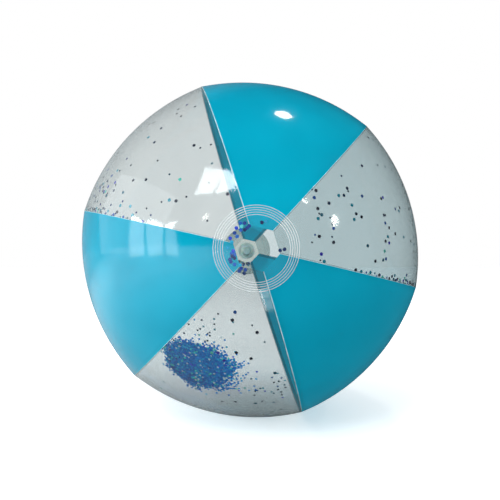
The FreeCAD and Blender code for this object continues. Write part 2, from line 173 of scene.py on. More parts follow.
class StageSettings(bpy.types.PropertyGroup):
    """Floor, light and camera."""
    floor: colour("Floor", "#F4F5F5", "Plain pale floor")
    window: amount("Window", 5.0, "Brightness of the window panes")
    lamp: amount("Lamps", 30.0, "Brightness of the small lamps")
    soft: amount("Soft light", 1.3, "Brightness of the large wall light")
    distance: amount("Camera distance", 3.17, "In ball radii")
    lens: amount("Focal length", 36.1, "On a 36 mm sensor")


class BeachBallSettings(bpy.types.PropertyGroup):
    """All settings of the ball."""
    film: PointerProperty(type=FilmSettings, name="Film", description="Gores, welds and caps")
    glitter: PointerProperty(type=GlitterSettings, name="Glitter", description="Loose flakes")
    valve: PointerProperty(type=ValveSettings, name="Valve", description="Push-in valve")
    stage: PointerProperty(type=StageSettings, name="Stage", description="Floor, light, camera")


def settings():
    return bpy.context.scene.beach_ball


# --- node and material helpers ------------------------------------------------------------

def add(tree, kind, options=None, inputs=None):
    """Adds a node with its options; an input takes a value or another node's socket."""
    node = tree.nodes.new(kind)
    for name, value in (options or {}).items():
        setattr(node, name, value)
    for name, value in (inputs or {}).items():
        if isinstance(value, bpy.types.NodeSocket):
            tree.links.new(value, node.inputs[name])
        else:
            node.inputs[name].default_value = value
    return node


def linear(hex_colour):
    """An sRGB hex colour as linear RGBA."""
    parts = [int(hex_colour[i:i + 2], 16) / 255 for i in (1, 3, 5)]
    return tuple(c / 12.92 if c <= 0.04045 else ((c + 0.055) / 1.055) ** 2.4 for c in parts) + (1.0,)


MATERIALS = {}  # by name, each made once


def material_of(name, shade, *details):
    """A material, made once; `shade` adds its nodes to the tree and returns the shader."""
    if name not in MATERIALS:
        made = bpy.data.materials.new(name)
        made.use_nodes = True
        made.node_tree.nodes.clear()
        output = add(made.node_tree, "ShaderNodeOutputMaterial")
        made.node_tree.links.new(shade(made.node_tree, *details), output.inputs["Surface"])
        MATERIALS[name] = made
    return MATERIALS[name]


def ramp(tree, value, stops, kind="LINEAR"):
    """A colour ramp with (position, sRGB hex) stops."""
    node = add(tree, "ShaderNodeValToRGB", {}, {"Fac": value})
    node.color_ramp.interpolation = kind
    elements = node.color_ramp.elements
    while len(elements) < len(stops):
        elements.new(1.0)
    for element, (position, hex_colour) in zip(elements, stops):
        element.position = position
        element.color = linear(hex_colour)
    return node.outputs["Color"]


def tones(tree, value, low_hex, high_hex):
    """Two tones that run softly into each other."""
    return ramp(tree, value, [(0.3, low_hex), (0.7, high_hex)])


def pattern(tree, size, detail=3.0):
    """Noise with features of a real size in metres, on Object coordinates."""
    place = add(tree, "ShaderNodeTexCoord").outputs["Object"]
    return add(tree, "ShaderNodeTexNoise", {},
               {"Vector": place, "Scale": 1.0 / size, "Detail": detail}).outputs["Fac"]


def scaled(tree, value, low, high, from_low=0.3, from_high=0.7):
    """A value moved from one range to another, clamped."""
    return add(tree, "ShaderNodeMapRange", {},
               {"Value": value, "From Min": from_low, "From Max": from_high,
                "To Min": low, "To Max": high}).outputs["Result"]


def computed(tree, kind, *values, clamp=False):
    """What a Math node makes of numbers and sockets."""
    return add(tree, "ShaderNodeMath", {"operation": kind, "use_clamp": clamp},
               dict(enumerate(values))).outputs[0]


def bumped(tree, height, distance, strength, under=None):
    """A normal with a bump, laid over another bump where one is given."""
    node = add(tree, "ShaderNodeBump", {}, {"Height": height, "Distance": distance, "Strength": strength})
    if under is not None:
        tree.links.new(under, node.inputs["Normal"])
    return node.outputs["Normal"]


def principled(tree, inputs):
    return add(tree, "ShaderNodeBsdfPrincipled", {}, inputs).outputs["BSDF"]


def mixed(tree, share, first, second):
    """A shader that goes from the first to the second as the share rises."""
    return add(tree, "ShaderNodeMixShader", {}, {"Fac": share, 1: first, 2: second}).outputs["Shader"]


def see_through(tree, tint_hex, cover, body):
    """A body that covers what lies behind it by a share; the rest shows through, tinted."""
    through = add(tree, "ShaderNodeBsdfTransparent", {}, {"Color": linear(tint_hex)})
    return mixed(tree, cover, through.outputs["BSDF"], body)


# --- materials ----------------------------------------------------------------------------

PVC_IOR = 1.53


def printed_pvc(tree, film):
    """Calendered PVC film with turquoise ink on its inner face: deep gloss over even colour.

    The calender leaves a faint orange peel, which breaks up highlights, and the ink lies a
    little thicker in some bands than in others. The ink lets about half of the light through,
    diffused, so the far side of the ball glows turquoise instead of going dark.
    """
    cloud = pattern(tree, 60 * MM, 2.0)
    peel = bumped(tree, pattern(tree, 9 * MM, 2.0), 0.06 * MM, 0.5)
    ink = principled(tree, {
        "Base Color": tones(tree, cloud, film.turquoise_deep, film.turquoise),
        "Roughness": scaled(tree, pattern(tree, 18 * MM), 0.08, 0.13), "IOR": PVC_IOR,
        "Coat Weight": 0.25, "Coat Roughness": 0.05,
        "Normal": bumped(tree, pattern(tree, 1.2 * MM, 2.0), 0.01 * MM, 0.25, peel)})
    through = add(tree, "ShaderNodeBsdfTranslucent", {}, {"Color": linear(film.glow)})
    return mixed(tree, scaled(tree, cloud, 0.5, 0.42), ink, through.outputs["BSDF"])


def clear_pvc(tree, film, tint_hex, least, painted_crests=False):
    """Clear calendered PVC film: see-through in front, glossier and denser towards its rim.

    Each face lets through a little less than all the light, and faint milky clouds come from
    the roller. Where the film is ridged by a weld, the tops of the ridges are painted white: a painted
    highlight.
    """
    cloud = pattern(tree, 70 * MM)
    # a ridged cap's milk is near white and hardly metallic, so that its painted crest highlights come out
    # white
    milk = ("#EEF3F3", "#FBFDFD") if painted_crests else (film.haze, film.clear)
    # the part that isn't see-through is haze and mirror gloss together, hence the metallic share
    body = principled(tree, {
        "Base Color": tones(tree, cloud, *milk),
        "Roughness": scaled(tree, pattern(tree, 22 * MM), 0.05, 0.11), "IOR": PVC_IOR,
        "Metallic": 0.1 if painted_crests else 0.75,
        "Normal": bumped(tree, pattern(tree, 12 * MM, 2.0), 0.05 * MM, 0.5)})
    facing = add(tree, "ShaderNodeLayerWeight", {}, {"Blend": 0.5}).outputs["Facing"]
    edge = computed(tree, "MULTIPLY_ADD", computed(tree, "POWER", facing, 4.0), 0.42, least)
    haze = scaled(tree, cloud, 0.4 * least, 0.0)
    if painted_crests:
        # painted highlight: the weld ridges' tops are covered with near-white film
        painted_crest_highlight = add(tree, "ShaderNodeAttribute", {"attribute_name": "painted_crest_highlight"}).outputs["Fac"]
        haze = computed(tree, "MULTIPLY_ADD", painted_crest_highlight, 0.9, haze)
    return see_through(tree, tint_hex, computed(tree, "ADD", edge, haze, clamp=True), body)


def welded_pvc(tree):
    """Film squeezed out along a high-frequency weld: a thin bead whose bright cyan-white colour is a
    painted highlight.
    """
    # the pale tones and the high cover paint the bright lines along the seams: painted highlight
    body = principled(tree, {
        "Base Color": tones(tree, pattern(tree, 6 * MM), "#A8E6F0", "#E2F8FB"),
        "Roughness": 0.16, "IOR": PVC_IOR, "Coat Weight": 0.6, "Coat Roughness": 0.04})
    return see_through(tree, "#FDFFFF", scaled(tree, pattern(tree, 11 * MM), 0.5, 0.8), body)


def moulded_pvc(tree, valve):
    """Soft injection-moulded PVC: milky, slightly waxy, with the mould's fine spark texture."""
    body = principled(tree, {
        "Base Color": tones(tree, pattern(tree, 5 * MM), valve.vinyl, "#D5DED8"),
        "Roughness": scaled(tree, pattern(tree, 2 * MM), 0.3, 0.42), "IOR": 1.52,
        "Subsurface Weight": 0.25, "Subsurface Scale": 0.002,
        "Normal": bumped(tree, pattern(tree, 0.5 * MM, 2.0), 0.02 * MM, 0.4)})
    return see_through(tree, "#E9F1EC", scaled(tree, pattern(tree, 8 * MM), 0.55, 0.7), body)


def holographic_polyester(tree, stops):
    """Metallised polyester film cut into hexagons: each flake takes one flat colour from a palette.

    The stored glint, a random value, differs from flake to flake and picks that colour, so that a heap
    sparkles in several hues; the palettes' dark and white stops are painted shade and painted glints.
    """
    glint = add(tree, "ShaderNodeAttribute", {"attribute_name": "glint"}).outputs["Fac"]
    return principled(tree, {
        "Base Color": ramp(tree, glint, stops, "CONSTANT"), "Metallic": 0.15,
        "Roughness": scaled(tree, pattern(tree, 4 * MM), 0.18, 0.34),
        "Coat Weight": 0.4, "Coat Roughness": 0.08,
        "Normal": bumped(tree, pattern(tree, 0.8 * MM, 1.0), 0.02 * MM, 0.5)})


def packed_glitter(tree, glitter):
    """The inside of the heap: flakes packed flat, drawn as cells of a flake's own width."""
    place = add(tree, "ShaderNodeTexCoord").outputs["Object"]
    cells = add(tree, "ShaderNodeTexVoronoi", {}, {"Vector": place, "Scale": 1.0 / glitter.across})
    shade = add(tree, "ShaderNodeSeparateColor", {}, {"Color": cells.outputs["Color"]}).outputs["Red"]
    stops = [(0.0, "#0558A8"), (0.45, "#0874CC"), (0.8, glitter.blue), (0.95, "#40A8F0")]
    return principled(tree, {
        "Base Color": ramp(tree, shade, stops), "Metallic": 0.15,
        "Roughness": scaled(tree, shade, 0.25, 0.5, 0, 1),
        "Normal": bumped(tree, cells.outputs["Distance"], 0.3 * MM, 0.7)})


def painted_floor(tree, stage):
    """Matt painted floor: even, with a faint roller texture so that it isn't dead flat."""
    paint = principled(tree, {
        "Base Color": tones(tree, pattern(tree, 300 * MM), "#F0F1F1", stage.floor), "Roughness": 0.6,
        "Normal": bumped(tree, pattern(tree, 2 * MM), 0.05 * MM, 0.2),
        "Emission Color": linear("#FFFFFF"), "Emission Strength": 0.35})
    # the ball's gloss sees a darker floor with painted light on it: an emission, seen only by glossy rays,
    # that grows brighter towards the window's side
    place = add(tree, "ShaderNodeTexCoord").outputs["Object"]
    axes = add(tree, "ShaderNodeSeparateXYZ", {}, {"Vector": place}).outputs
    painted_window_light = computed(tree, "MULTIPLY", scaled(tree, axes["X"], 3.2, 0.1, -0.8, 0.0),
                           scaled(tree, axes["Y"], 1.0, 0.3, 0.1, 0.9))
    ray = add(tree, "ShaderNodeLightPath").outputs
    bright = scaled(tree, ray["Is Glossy Ray"], 0.85, painted_window_light, 0.0, 1.0)
    seen = add(tree, "ShaderNodeEmission", {}, {"Color": linear("#DDE6EA"), "Strength": bright})
    return mixed(tree, ray["Is Camera Ray"], seen.outputs["Emission"], paint)


# --- mesh helpers -------------------------------------------------------------------------

def link(name, data):
    """A new object in the scene."""
    made = bpy.data.objects.new(name, data)
    bpy.context.collection.objects.link(made)
    return made


def new_mesh(name, points, edges, faces):
    mesh = bpy.data.meshes.new(name)
    mesh.from_pydata(np.asarray(points, float).tolist(), edges, faces)
    return mesh


def make_object(name, points, faces, material):
    """A closed mesh object at the origin with smooth faces and crisp edges."""
    mesh = new_mesh(name, points, [], faces)
    tidy = bmesh.new()
    tidy.from_mesh(mesh)
    bmesh.ops.remove_doubles(tidy, verts=tidy.verts, dist=1e-6)
    bmesh.ops.recalc_face_normals(tidy, faces=tidy.faces)
    tidy.to_mesh(mesh)
    tidy.free()
    mesh.polygons.foreach_set("use_smooth", [True] * len(mesh.polygons))
    mesh.set_sharp_from_angle(angle=math.radians(50))
    mesh.materials.append(material)
    return link(name, mesh)


def grid_faces(rows, columns, start=0, wrap=False):
    """Quads of a grid whose points are stored row by row from index `start`."""
    last = columns if wrap else columns - 1
    faces = []
    for i in range(rows - 1):
        for j in range(last):
            k = (j + 1) % columns
            faces.append((start + i * columns + j, start + i * columns + k,
                          start + (i + 1) * columns + k, start + (i + 1) * columns + j))
    return faces


def flipped(faces):
    """The same faces, looking the other way."""
    return [tuple(reversed(face)) for face in faces]


def closed_sheet(outer, inner, wrap=False, start=0):
    """Points and faces of a film between two grids of points (rows, columns, 3)."""
    rows, columns = outer.shape[:2]
    count = rows * columns
    points = np.concatenate([outer.reshape(-1, 3), inner.reshape(-1, 3)])
    faces = grid_faces(rows, columns, start, wrap)
    faces += flipped(grid_faces(rows, columns, start + count, wrap))
    edge = [(0, j) for j in range(columns)]
    far = [(rows - 1, j) for j in range(columns)]
    if wrap:
        rims = [edge + edge[:1], far + far[:1]]
    else:
        rims = [edge + [(i, columns - 1) for i in range(1, rows)] + far[-2::-1]
                + [(i, 0) for i in range(rows - 2, -1, -1)]]
    for rim in rims:
        for (i, j), (m, n) in zip(rim, rim[1:]):
            a, b = start + i * columns + j, start + m * columns + n
            faces.append((a, b, b + count, a + count))
    return points, faces


def finish_piece(piece, body, slot, *nodes):
    """Rides on a body and stands for CAD nodes; `slot` is not used."""
    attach(piece, body)
    if nodes:
        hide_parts(*nodes)
    return piece


# --- shape of the ball --------------------------------------------------------------------
# A gore is an arc of the ball's radius swung about an axis behind the centre. In its own frame
# its middle is at +X; s runs across it from seam to seam and t is the height angle.

def half_angle(reach, offset):
    """Angle from a gore's middle to its seam, at a distance from the gore's own axis."""
    half = math.radians(GORE_ANGLE / 2)
    return half - np.arcsin(np.clip(offset * math.sin(half) / reach, -1, 1))


def on_gore(across, height, radius, offset):
    """Points of a gore; `across` is -1..1 from seam to seam and `height` an angle."""
    reach = offset + radius * np.cos(height)
    swing = across * half_angle(reach, offset)
    return np.stack([reach * np.cos(swing) - offset, radius * np.sin(height),
                     reach * np.sin(swing)], axis=-1)


def tip_angle(across, radius, offset, tip):
    """Height angle at which a gore reaches the straight cut of its tip."""
    low = np.full_like(across, math.radians(60))
    high = np.full_like(across, math.radians(89.9))
    for _ in range(50):
        middle = (low + high) / 2
        outside = on_gore(across, middle, radius, offset)[..., 0] > tip
        low = np.where(outside, middle, low)
        high = np.where(outside, high, middle)
    return low


def turn(points, angle):
    """Turns points about the pole axis, from +X towards +Z."""
    c, s = math.cos(math.radians(angle)), math.sin(math.radians(angle))
    x, y, z = points[..., 0], points[..., 1], points[..., 2]
    return np.stack([c * x - s * z, y, s * x + c * z], axis=-1)


def smooth(value, low, high):
    """A soft step from 0 to 1."""
    t = np.clip((value - low) / (high - low), 0, 1)
    return t * t * (3 - 2 * t)


WAVES = np.random.default_rng(11).uniform(0, 2 * math.pi, (6, 5))
WAVE_LENGTHS = np.array([37.0, 24.0, 17.5, 71.0, 111.0]) * MM
WAVE_SHARES = np.array([0.9, 0.7, 0.5, 1.2, 0.8])
SWELL_LENGTH = 92 * MM  # one broad swell of the slack film, along the gore
SLACK_WIDTH = 0.36  # of the right clear gore, in radians from its middle


def puckered(points, film):
    """Moves film points in or out where welds draw it together and where it lies slack."""
    x, y, z = points[..., 0], points[..., 1], points[..., 2]
    from_axis = np.hypot(x, z)
    angle = np.degrees(np.arctan2(z, x))
    off = (angle - SEAMS[0] + GORE_ANGLE / 2) % 360
    seam = np.clip((off // GORE_ANGLE).astype(int), 0, 5)
    off_seam = np.radians(off % GORE_ANGLE - GORE_ANGLE / 2)
    aside = from_axis * np.abs(np.sin(off_seam))
    along = BALL_RADIUS * np.arctan2(y, from_axis)
    wave = sum(share * np.sin(2 * math.pi * along / size + WAVES[seam, i])
               for i, (share, size) in enumerate(zip(WAVE_SHARES, WAVE_LENGTHS)))
    swell = film.pucker * wave * np.exp(-aside / film.pucker_reach)
    right = np.exp(-((np.radians(angle - CLEAR_MIDDLES[0])) / SLACK_WIDTH) ** 2)
    slack = film.slack * right * (0.5 + 0.5 * np.sin(2 * math.pi * along / SWELL_LENGTH + 1.0))
    fade = smooth(from_axis, film.cap_radius * 1.05, film.cap_radius * 1.8)
    grown = 1 + fade * (swell + slack) / np.linalg.norm(points, axis=-1)
    return points * grown[..., None]


def spread(count, crowding=0.35):
    """Values from -1 to 1 that lie closer together near both ends."""
    even = np.linspace(-1, 1, count)
    return (1 - crowding) * even + crowding * np.sin(even * math.pi / 2)


def gore_grid(film, radius, rows=190, columns=60, inset=0.0):
    """A gore's grid of points at one radius, drawn in from its seams by `inset`."""
    across = np.repeat(spread(columns)[None, :] * (1 - inset), rows, axis=0)
    top = tip_angle(across[0], radius, film.gore_offset, film.tip)
    height = spread(rows, 0.2)[:, None] * top[None, :]
    return on_gore(across, height, radius, film.gore_offset)


def lap_grid(film, radius, side, rows=190):
    """A weld flange: from 1 mm under its own gore to the lap's width under the next one."""
    offset = film.gore_offset
    top = tip_angle(np.array([0.97 * side]), radius, offset, film.tip)[0]
    height = spread(rows, 0.2) * top
    reach = offset + radius * np.cos(height)
    width = reach * half_angle(reach, offset)
    columns = [on_gore(side * (1 + aside * MM / width), height, radius, offset)
               for aside in (-1.0, -0.4, 0.0)]
    for share in (0.15, 0.5, 1.0):
        own = on_gore(-side * (1 - share * film.lap / width), height, radius, offset)
        columns.append(turn(own, side * GORE_ANGLE))
    return np.stack(columns, axis=1)


def seam_line(film, radius, angle, rows=260):
    """The line where two gores meet."""
    across = np.ones(rows)
    top = tip_angle(across[:1], radius, film.gore_offset, film.tip)[0]
    points = on_gore(across, spread(rows, 0.15) * top, radius, film.gore_offset)
    return turn(points, angle - GORE_ANGLE / 2)


def pole_height(x, z, lift, film):
    """Height of the ball's surface, raised by `lift`, over a point near a pole."""
    angle = np.degrees(np.arctan2(z, x))
    middle = CLEAR_MIDDLES[0] + GORE_ANGLE * np.round((angle - CLEAR_MIDDLES[0]) / GORE_ANGLE)
    local = np.radians(angle - middle)
    from_axis = np.hypot(x, z)
    reach = np.hypot(from_axis * np.cos(local) + film.gore_offset, from_axis * np.sin(local))
    return np.sqrt((BALL_RADIUS + lift) ** 2 - (reach - film.gore_offset) ** 2)


def pole_sheet(radii, lifts, film, columns=192):
    """A round grid over the rear pole from radii and their lifts above the gores."""
    angle = np.radians(CLEAR_MIDDLES[0]) + np.linspace(0, 2 * math.pi, columns, endpoint=False)
    x = radii[:, None] * np.cos(angle)[None, :]
    z = radii[:, None] * np.sin(angle)[None, :]
    return np.stack([x, pole_height(x, z, lifts[:, None], film), z], axis=-1)


def turned_sheet(profile, columns=72):
    """Rings of points turned about the pole axis from a (radius, height) outline."""
    angle = np.linspace(0, 2 * math.pi, columns, endpoint=False)
    profile = np.asarray(profile)
    radius, height = profile[:, 0:1], profile[:, 1:2]
    return np.stack([radius * np.cos(angle), np.repeat(height, columns, axis=1),
                     radius * np.sin(angle)], axis=-1)


def rounded(outline, corner, steps=4):
    """An open or closed outline of (x, y) with its corners rounded by up to `corner`."""
    points = [np.array(p, float) for p in outline]
    made = []
    for last, here, following in zip(points[-1:] + points[:-1], points, points[1:] + points[:1]):
        back, on = last - here, following - here
        reach = min(corner, np.linalg.norm(back) / 2.2, np.linalg.norm(on) / 2.2)
        start = here + back / np.linalg.norm(back) * reach
        end = here + on / np.linalg.norm(on) * reach
        for k in range(steps + 1):
            t = k / steps
            made.append((1 - t) ** 2 * start + 2 * t * (1 - t) * here + t ** 2 * end)
    return np.array(made)


def turned_ring(outline, corner, columns=72):
    """Points and faces of a closed outline turned about the pole axis."""
    profile = rounded(outline, corner)
    grid = turned_sheet(np.vstack([profile, profile[:1]]), columns)
    return grid.reshape(-1, 3), grid_faces(len(grid), columns, 0, True)


# --- Geometry Nodes trees -----------------------------------------------------------------

def new_tree(name, **sockets):
    """A geometry tree with named inputs and a material; returns the tree and its inputs."""
    tree = bpy.data.node_groups.new(name, "GeometryNodeTree")
    for way in ("OUTPUT", "INPUT"):
        tree.interface.new_socket("Geometry", in_out=way, socket_type="NodeSocketGeometry")
    for socket, kind in sockets.items():
        tree.interface.new_socket(socket, in_out="INPUT", socket_type="NodeSocket" + kind)
    tree.interface.new_socket("Material", in_out="INPUT", socket_type="NodeSocketMaterial")
    return tree, add(tree, "NodeGroupInput").outputs


def finish_tree(tree, geometry, material):
    """Makes instances real, gives them the material and hands them out."""
    real = add(tree, "GeometryNodeRealizeInstances", {}, {"Geometry": geometry})
    dressed = add(tree, "GeometryNodeSetMaterial", {},
                  {"Geometry": real.outputs["Geometry"], "Material": material})
    add(tree, "NodeGroupOutput", {}, {"Geometry": dressed.outputs["Geometry"]})
    return tree


def bake(name, source, tree, values):
    """Runs a tree on a source object and returns the result as a plain mesh object."""
    modifier = source.modifiers.new(tree.name, "NODES")
    modifier.node_group = tree
    named = {item.name: item.identifier for item in tree.interface.items_tree
             if item.in_out == "INPUT"}
    for key, value in values.items():
        modifier[named[key]] = value
    graph = bpy.context.evaluated_depsgraph_get()
    mesh = bpy.data.meshes.new_from_object(source.evaluated_get(graph), depsgraph=graph)
    mesh.name = name
    made = link(name, mesh)
    source.modifiers.clear()
    bpy.data.objects.remove(source)
    return made


def bead_tree():
    """A round bead along a path."""
    tree, given = new_tree("weld_bead_on_path", Radius="Float", Sides="Int")
    path = add(tree, "GeometryNodeMeshToCurve", {}, {"Mesh": given["Geometry"]})
    ring = add(tree, "GeometryNodeCurvePrimitiveCircle", {},
               {"Resolution": given["Sides"], "Radius": given["Radius"]})
    bead = add(tree, "GeometryNodeCurveToMesh", {},
               {"Curve": path.outputs["Curve"], "Profile Curve": ring.outputs["Curve"], "Fill Caps": True})
    smooth_bead = add(tree, "GeometryNodeSetShadeSmooth", {}, {"Geometry": bead.outputs["Mesh"]})
    return finish_tree(tree, smooth_bead.outputs["Geometry"], given["Material"])


def flake_tree():
    """Hexagonal flakes strewn over a bed by its own density, each with its own tilt and glint."""
    tree, given = new_tree("strewn_flakes", Width="Float", Thickness="Float", Spacing="Float",
                           Density="Float", Tilt="Float", Seed="Int")
    share = add(tree, "GeometryNodeInputNamedAttribute", {"data_type": "FLOAT"}, {"Name": "density"})
    points = add(tree, "GeometryNodeDistributePointsOnFaces", {"distribute_method": "POISSON"},
                 {"Mesh": given["Geometry"], "Distance Min": given["Spacing"],
                  "Density Max": given["Density"], "Density Factor": share.outputs["Attribute"],
                  "Seed": given["Seed"]})
    corner = computed(tree, "MULTIPLY", given["Width"], 1 / math.sqrt(3))
    hexagon = add(tree, "GeometryNodeMeshCylinder", {"fill_type": "NGON"},
                  {"Vertices": 6, "Radius": corner, "Depth": given["Thickness"]})
    back = computed(tree, "MULTIPLY", given["Tilt"], -1.0)
    low = add(tree, "ShaderNodeCombineXYZ", {}, {"X": back, "Y": back, "Z": 0.0})
    high = add(tree, "ShaderNodeCombineXYZ", {},
               {"X": given["Tilt"], "Y": given["Tilt"], "Z": math.pi / 3})
    lean = add(tree, "FunctionNodeRandomValue", {"data_type": "FLOAT_VECTOR"},
               {0: low.outputs["Vector"], 1: high.outputs["Vector"], "Seed": given["Seed"]})
    leaning = add(tree, "FunctionNodeEulerToRotation", {}, {"Euler": lean.outputs["Value"]})
    laid = add(tree, "FunctionNodeRotateRotation", {"rotation_space": "LOCAL"},
               {"Rotation": points.outputs["Rotation"], "Rotate By": leaning.outputs["Rotation"]})
    placed = add(tree, "GeometryNodeInstanceOnPoints", {},
                 {"Points": points.outputs["Points"], "Instance": hexagon.outputs["Mesh"],
                  "Rotation": laid.outputs["Rotation"]})
    glint = add(tree, "FunctionNodeRandomValue", {"data_type": "FLOAT"},
                {"Seed": computed(tree, "ADD", given["Seed"], 1.0)})
    stored = add(tree, "GeometryNodeStoreNamedAttribute", {"data_type": "FLOAT", "domain": "INSTANCE"},
                 {"Geometry": placed.outputs["Instances"], "Name": "glint", "Value": glint.outputs[1]})
    return finish_tree(tree, stored.outputs["Geometry"], given["Material"])


def ridge_tree():
    """Concentric weld ridges pressed into the outer face of a cap's welded ring."""
    tree, given = new_tree("weld_ridges", Edge="Float", Margin="Float", Pitch="Float",
                           Height="Float", Ridges="Int")

    result = partial(computed, tree)

    def vector(kind, inputs):
        return add(tree, "ShaderNodeVectorMath", {"operation": kind}, inputs).outputs

    place = add(tree, "GeometryNodeInputPosition").outputs["Position"]
    flat = vector("MULTIPLY", {0: place, 1: (1.0, 0.0, 1.0)})["Vector"]
    radius = vector("LENGTH", {0: flat})["Value"]
    outer_ridge = result("SUBTRACT", given["Edge"], given["Margin"])
    rings = result("DIVIDE", result("SUBTRACT", outer_ridge, radius), given["Pitch"])
    last = result("SUBTRACT", given["Ridges"], 0.5)
    inside = result("MULTIPLY", result("GREATER_THAN", rings, -0.5), result("LESS_THAN", rings, last))
    wave = result("MAXIMUM", result("COSINE", result("MULTIPLY", rings, 2 * math.pi)), 0.0)
    outer = add(tree, "GeometryNodeInputNamedAttribute", {"data_type": "FLOAT"},
                {"Name": "outer"}).outputs["Attribute"]
    rise = result("MULTIPLY", result("MULTIPLY", result("POWER", wave, 0.8), inside),
                  result("MULTIPLY", outer, given["Height"]))
    direction = vector("NORMALIZE", {0: place})["Vector"]
    raised = add(tree, "GeometryNodeSetPosition", {},
                 {"Geometry": given["Geometry"],
                  "Offset": vector("SCALE", {0: direction, "Scale": rise})["Vector"]})
    # the tops of the ridges, which the cap's material paints white as a painted highlight
    painted_crest_highlight = result("MULTIPLY", result("MULTIPLY", result("POWER", wave, 6.0), inside), outer)
    marked = add(tree, "GeometryNodeStoreNamedAttribute", {"data_type": "FLOAT", "domain": "POINT"},
                 {"Geometry": raised.outputs["Geometry"], "Name": "painted_crest_highlight", "Value": painted_crest_highlight})
    return finish_tree(tree, marked.outputs["Geometry"], given["Material"])


# --- operators ----------------------------------------------------------------------------

class BEACHBALL_OT_turquoise_gores(bpy.types.Operator):
    """Builds the three printed turquoise gores"""
    bl_idname = "beachball.turquoise_gores"
    bl_label = "Turquoise gores"

    def execute(self, context):
        film = settings().film
        material = material_of("printed_turquoise_pvc_film", printed_pvc, film)
        outer = gore_grid(film, BALL_RADIUS)
        inner = gore_grid(film, BALL_RADIUS - film.thickness)
        for index, middle in enumerate(TURQUOISE_MIDDLES, 1):
            points, faces = closed_sheet(turn(outer, middle), turn(inner, middle))
            piece = make_object("turquoise_gore_%d" % index, puckered(points, film), faces, material)
            finish_piece(piece, "ball", "turquoise_vinyl", "gore_turquoise_%d" % index)
        return {"FINISHED"}


class BEACHBALL_OT_clear_gores(bpy.types.Operator):
    """Builds the three clear gores with the weld flanges that run under their neighbours"""
    bl_idname = "beachball.clear_gores"
    bl_label = "Clear gores"

    def execute(self, context):
        film = settings().film
        under = BALL_RADIUS - film.thickness - 0.03 * MM
        sheets = [(gore_grid(film, BALL_RADIUS), gore_grid(film, BALL_RADIUS - film.thickness))]
        for side in (-1, 1):
            sheets.append((lap_grid(film, under, side), lap_grid(film, under - film.thickness, side)))
        # one film in three tints, made darker or lighter gore by gore: painted shade and painted light
        tints = (("right", film.right_tint_painted_shade), ("upper", film.upper_tint_painted_light), ("lower", film.lower_tint_painted_shade))
        for index, (middle, (place, tint_hex)) in enumerate(zip(CLEAR_MIDDLES, tints), 1):
            material = material_of("clear_calendered_pvc_film_" + place, clear_pvc, film, tint_hex, 0.045)
            all_points, all_faces = [], []
            for outer, inner in sheets:
                start = sum(len(points) for points in all_points)
                points, faces = closed_sheet(turn(outer, middle), turn(inner, middle), start=start)
                all_points.append(points)
                all_faces += faces
            points = puckered(np.concatenate(all_points), film)
            piece = make_object("clear_gore_%d" % index, points, all_faces, material)
            finish_piece(piece, "ball", "clear_vinyl", "gore_clear_%d" % index)
        return {"FINISHED"}


class BEACHBALL_OT_seam_welds(bpy.types.Operator):
    """Lays a thin welded bead along each of the six seams"""
    bl_idname = "beachball.seam_welds"
    bl_label = "Seam welds"

    def execute(self, context):
        film = settings().film
        material = material_of("weld_bead_painted_highlight", welded_pvc)
        tree = bead_tree()
        for index, angle in enumerate(SEAMS, 1):
            line = puckered(seam_line(film, BALL_RADIUS, angle), film)
            # two of the beads are twice as thick, so that these two seams show wider lines of painted
            # highlight
            radius = film.weld_radius if index in (2, 5) else 0.5 * film.weld_radius
            line *= 1 - 0.25 * radius / BALL_RADIUS
            steps = [(i, i + 1) for i in range(len(line) - 1)]
            piece = bake("seam_weld_%d" % index, link("seam_path", new_mesh("seam_path", line, steps, [])),
                         tree, {"Radius": radius, "Sides": 10, "Material": material})
            finish_piece(piece, "ball", "clear_vinyl")
        return {"FINISHED"}


def half_turned(points):
    """Half a turn about the right clear gore's middle, which swaps the poles."""
    return turn(turn(points, -CLEAR_MIDDLES[0]) * (1, -1, -1), CLEAR_MIDDLES[0])


def cap_profile(film, low):
    """Radii of a cap with the lifts of its outer and inner face above the gores."""
    ring = film.cap_radius - film.cap_weld
    fine = np.arange(ring + 0.4 * MM, film.cap_radius - 0.45 * MM, 0.2 * MM)
    rim = film.cap_radius - np.array([0.4, 0.28, 0.18, 0.09, 0.03, 0.0]) * MM
    rise = np.linspace(ring - 0.9 * MM, ring + 0.3 * MM, 10)
    dome = np.linspace(low, ring - 1.2 * MM, 26)
    radii = np.concatenate([dome, rise, fine, rim])
    raised = 1 - smooth(radii, ring - 0.8 * MM, ring + 0.2 * MM)
    inner = 0.03 * MM + raised * (CAP_LIFT - film.thickness - 0.03 * MM)
    left = np.clip(film.cap_radius - radii, 0, 0.3 * MM) / (0.3 * MM)
    rounding = np.sqrt(np.clip(1 - (1 - left) ** 2, 0.02, 1))
    return radii, inner + film.thickness * rounding, inner


